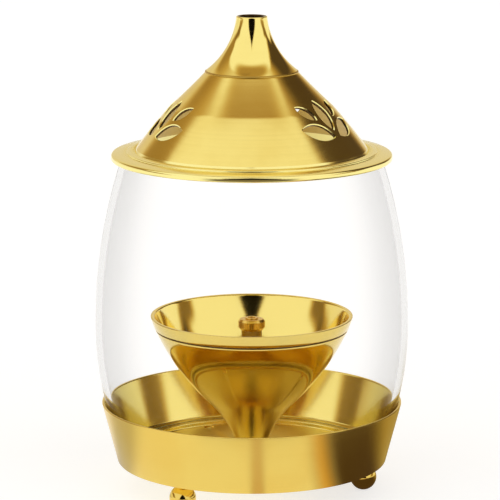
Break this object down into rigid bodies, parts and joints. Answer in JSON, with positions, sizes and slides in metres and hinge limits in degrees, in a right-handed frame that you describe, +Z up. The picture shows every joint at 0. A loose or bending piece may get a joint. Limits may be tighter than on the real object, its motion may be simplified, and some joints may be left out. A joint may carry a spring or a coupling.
{
  "type": "akhand diya oil lamp",
  "caption": "Brass oil lamp: a stemmed cup with a wick holder on a footed tray, a barrel glass chimney standing in the tray, and a pierced conical lid with a flared spout.",
  "frame": {"origin": "on the lamp's axis, at the level that the ball feet stand on", "axes": "+Z up along the lamp's axis, -Y to the front of the picture, +X to its right"},
  "size_m": [0.11, 0.11, 0.1677],
  "materials": {
    "tray_brass": "satin turned outside, polished inside",
    "foot_brass": "polished",
    "cup_brass": "mirror polished outside, satin inside",
    "fastener_brass": "plain turned",
    "wick_brass": "turned, a little dulled",
    "chimney_glass": "clear, smooth, ground ends",
    "lid_brass": "satin spun"
  },
  "bodies": {
    "base": {"tray": "tray_brass", "foot_1": "foot_brass", "foot_2": "foot_brass", "foot_3": "foot_brass", "cup": "cup_brass", "cup_screw": "fastener_brass", "cup_washer": "fastener_brass", "wick_post": "wick_brass"},
    "chimney": {"glass_chimney": "chimney_glass"},
    "lid": {"lid_cone": "lid_brass", "lid_spout": "lid_brass"},
    "wick_tube": {"wick_tube": "wick_brass"},
    "wick_nut": {"wick_nut": "wick_brass"}
  },
  "joints": [
    {"name": "chimney_lift", "type": "slide", "parent": "base", "child": "chimney", "axis": [0, 0, 1], "range_m": [0, 0.06]},
    {"name": "lid_lift", "type": "slide", "parent": "chimney", "child": "lid", "axis": [0, 0, 1], "range_m": [0, 0.04]},
    {"name": "tube_rise", "type": "slide", "parent": "base", "child": "wick_tube", "axis": [0, 0, 1], "range_m": [0, 0.004]},
    {"name": "nut_turn", "type": "hinge", "parent": "wick_tube", "child": "wick_nut", "pos_m": [0, 0, 0.0588], "axis": [0, 0, 1], "range_deg": [0, 1441]}
  ],
  "couplings": [
    {"joint": "nut_turn", "follows": "tube_rise", "rad_per_m": 6283.2}
  ]
}
